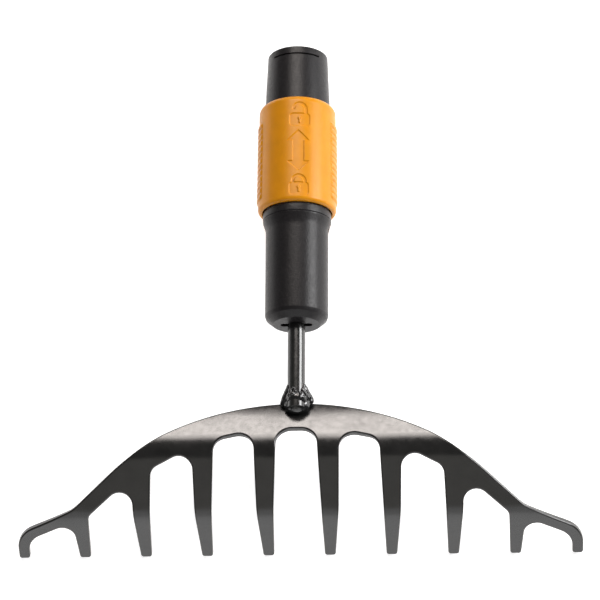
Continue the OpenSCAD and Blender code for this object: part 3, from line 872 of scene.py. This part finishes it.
def make_sleeve():
    low_r, top_r = SLEEVE_R + 0.2, SLEEVE_R - 0.2
    low_round, top_round = 2.8, 4.2
    marks = np.arange(-24, 24, 0.44) + math.degrees(MARK_TURN)
    rest = np.arange(0, 360, 1.0) - 180
    rest = rest[(rest < marks[0] - 0.6) | (rest > marks[-1] + 0.6)]
    turns = np.radians(np.sort(np.concatenate([marks, rest])))
    low = [
        (low_r - low_round + low_round * math.cos(a), SLEEVE_Z + low_round + low_round * math.sin(a))
        for a in np.radians(np.linspace(-84, -6, 12))
    ]
    top = [
        (top_r - top_round + top_round * math.cos(a), SLEEVE_TOP - top_round + top_round * math.sin(a))
        for a in np.radians(np.linspace(4, 87, 14))
    ]
    heights = np.arange(SLEEVE_Z + low_round, SLEEVE_TOP - top_round + 0.01, 0.25)
    share = (heights - heights[0]) / (heights[-1] - heights[0])
    wall = list(zip(low_r + (top_r - low_r) * share, heights))
    lip, step = TUBE_R + 0.3, SLEEVE_IN_R - 0.8
    bore = soften(
        [
            (lip + 0.01, SLEEVE_TOP, 0.4),
            (lip, SLEEVE_TOP - 6),
            (step, SLEEVE_TOP - 7.5),
            (step, CAM_TOP + 0.05),
            (SLEEVE_IN_R, CAM_TOP + 0.05),
            (SLEEVE_IN_R, CAM_BOTTOM - 0.1),
            (SLEEVE_IN_R + 0.6, CAM_BOTTOM - 0.1),
            (SLEEVE_IN_R + 0.6, CAM_BOTTOM - 1.3),
            (SLEEVE_IN_R, CAM_BOTTOM - 1.3),
            (SLEEVE_IN_R, SLEEVE_Z + 0.4),
            (SLEEVE_IN_R + 0.5, SLEEVE_Z + 0.02),
        ],
        20,
    )
    profile = low + wall + top + bore
    outer = len(low) + len(wall) + len(top)
    rows, columns = len(profile), len(turns)
    r = np.array([p[0] for p in profile])[None, :].repeat(columns, 0)
    z = np.array([p[1] for p in profile])[None, :].repeat(columns, 0)
    a = turns[:, None].repeat(rows, 1)
    r[:, :outer] += sleeve_relief(a[:, :outer], z[:, :outer])
    verts = np.stack([r * np.sin(a), -r * np.cos(a), z], -1).reshape(-1, 3)
    starts = [(c * rows, (c + 1) % columns * rows) for c in range(columns)]
    faces = [(c + i, d + i, d + (i + 1) % rows, c + (i + 1) % rows) for c, d in starts for i in range(rows)]
    return verts, faces


sleeve_v, sleeve_f = make_sleeve()
ORANGE = MATERIALS["orange_moulding"]
piece("sliding_sleeve", sleeve_v, sleeve_f, "sleeve", ["release_sleeve"], ORANGE, None, 50)

# ---------------------------------------------------------------- springs
WIRE = 1.6
SPRING_R = INNER_TUBE_R + 1.9
TURNS = 7
SPRING_RISE = CAM_BOTTOM - SPRING_Z - WIRE - 0.2


def coil_point(t):
    flat = 0.06
    if t < 1:
        h = flat * t
    elif t > TURNS - 1:
        h = 1 - flat * (TURNS - t)
    else:
        h = flat + (1 - 2 * flat) * (t - 1) / (TURNS - 2)
    a = 2 * math.pi * t
    return SPRING_R * math.cos(a), SPRING_R * math.sin(a), SPRING_Z + WIRE / 2 + SPRING_RISE * h


spring_v, spring_f = sweep([coil_point(i / 60) for i in range(60 * TURNS + 1)], 0.49 * WIRE)
STEEL = MATERIALS["spring_steel"]
spring = piece("return_coil", spring_v, spring_f, "head", ["return_spring"], STEEL)
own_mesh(spring)

SPREAD_R = INNER_TUBE_R - 1
SPREAD_OPEN = 40
for side, body in ((-1, "key_left"), (1, "key_right")):
    turns = np.radians(np.linspace(0, 180 - SPREAD_OPEN / 2, 40))
    path = [(side * SPREAD_R * math.sin(a), -SPREAD_R * math.cos(a), KEY_Z + KEY_H / 2) for a in turns]
    half_v, half_f = sweep(path, 0.5)
    mesh = bpy.data.meshes.new("spread_wire")
    mesh.from_pydata(half_v, [], half_f)
    finish_mesh(mesh, 35)
    mesh.transform(TOOL)
    wire = bpy.data.objects.new("spread_wire_" + body[4:], mesh)
    bpy.context.scene.collection.objects.link(wire)
    mesh.materials.append(STEEL)
    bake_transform(wire)
    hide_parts("key_spread_ring")

# ---------------------------------------------------------------- CAD nodes that stay
NODE_SLOTS = {s["node"]: s["material_slot"] for s in frame["record"]["subparts"]}
for name, obj in frame["nodes"].items():
    obj.data.materials.clear()
    obj.data.materials.append(MATERIALS[NODE_SLOTS[name]])
    if not obj.hide_render:
        edge = obj.modifiers.new("edge", "BEVEL")
        edge.width, edge.segments, edge.limit_method = 0.12 * MM, 2, "ANGLE"
        edge.angle_limit = math.radians(40)


# ---------------------------------------------------------------- floor, light and camera
def white_floor():
    mesh = bpy.data.meshes.new("floor")
    reach = 6.0
    corners = [(-reach, -reach, 0), (reach, -reach, 0), (reach, reach, 0), (-reach, reach, 0)]
    mesh.from_pydata(corners, [], [(0, 1, 2, 3)])
    mesh.transform(Matrix.Translation((0, 0, -0.0004)))
    obj = bpy.data.objects.new("floor", mesh)
    bpy.context.scene.collection.objects.link(obj)
    p = Paint("pale_floor", (0.8, 0.8, 0.8), 0.9)
    p.shader.inputs["Specular IOR Level"].default_value = 0.0
    p.shader.inputs["Emission Color"].default_value = (1, 1, 1, 1)
    p.shader.inputs["Emission Strength"].default_value = 0.75
    mesh.materials.append(p.mat)


def box_light(name, direction, distance, width, height, radiance, aim=(0, 0, 0), colour=(1, 1, 1)):
    """A softbox in a direction of the tool's frame, with that radiance."""
    data = bpy.data.lights.new(name, "AREA")
    data.shape, data.size, data.size_y = "RECTANGLE", width, height
    data.energy = radiance * math.pi * width * height
    data.color = colour
    obj = bpy.data.objects.new(name, data)
    bpy.context.scene.collection.objects.link(obj)
    way = (TURN @ Vector(direction)).normalized()
    target = TOOL @ Vector(aim)
    up = TURN @ Vector((0, 0, 1))
    right = up.cross(way).normalized()
    turn = Matrix((right, way.cross(right), way)).transposed().to_4x4()
    obj.matrix_world = Matrix.Translation(target + way * distance) @ turn


def from_angles(turn, rise):
    """A direction of the tool's frame: turn right of the front, rise above the level."""
    a, e = math.radians(turn), math.radians(rise)
    return math.sin(a) * math.cos(e), -math.cos(a) * math.cos(e), math.sin(e)


def studio():
    warm = (1, 0.93, 0.88)
    for rise, tall, radiance in ((43, 9, 13), (33.5, 10, 8), (25.5, 6, 3)):
        box_light("box_above", from_angles(-2, rise), 2.5, 1.4, 2.5 * math.radians(tall), radiance, (0, 0, -60), warm)
    box_light("box_right", from_angles(61, 16), 1.0, 0.5, 0.52, 12.5)
    box_light("box_left", from_angles(-75, 0), 1.2, 0.4, 1.0, 0.25)
    box_light("box_low", from_angles(0, -40), 1.4, 1.2, 0.7, 0.42, (0, 0, -100), (1, 0.97, 0.9))
    box_light("box_lower", from_angles(0, -62), 1.4, 1.4, 0.4, 0.9, (0, 0, -100))
    box_light("box_below", from_angles(0, -84), 1.4, 1.8, 0.7, 1.55, (0, 0, -100))
    world = bpy.data.worlds.new("studio")
    bpy.context.scene.world = world
    world.use_nodes = True
    world.node_tree.nodes["Background"].inputs["Color"].default_value = (1, 1, 1, 1)
    world.node_tree.nodes["Background"].inputs["Strength"].default_value = 0.1


IMAGE_W = 600


def set_camera():
    """The camera, placed in the tool's frame."""
    az, el, roll = math.radians(3.307), math.radians(-20.745), math.radians(0.257)
    away = 1497.8
    target = Vector((2.70, 0, 16.98))
    back = Vector((math.sin(az) * math.cos(el), -math.cos(az) * math.cos(el), math.sin(el)))
    right = (-back).cross(Vector((0, 0, 1))).normalized()
    up = right.cross(-back)
    r = right * math.cos(roll) + up * math.sin(roll)
    u = -right * math.sin(roll) + up * math.cos(roll)
    data = bpy.data.cameras.new("camera")
    data.sensor_width = 36
    data.lens = 140.57
    data.shift_x = -0.9 / IMAGE_W
    data.clip_start, data.clip_end = 0.05, 20
    cam = bpy.data.objects.new("camera", data)
    bpy.context.scene.collection.objects.link(cam)
    turn = TURN @ Matrix((r, u, back)).transposed()
    cam.matrix_world = Matrix.Translation(TOOL @ (target + back * away)) @ turn.to_4x4()
    bpy.context.scene.camera = cam


white_floor()
studio()
set_camera()
bpy.context.scene.view_settings.view_transform = "Standard"
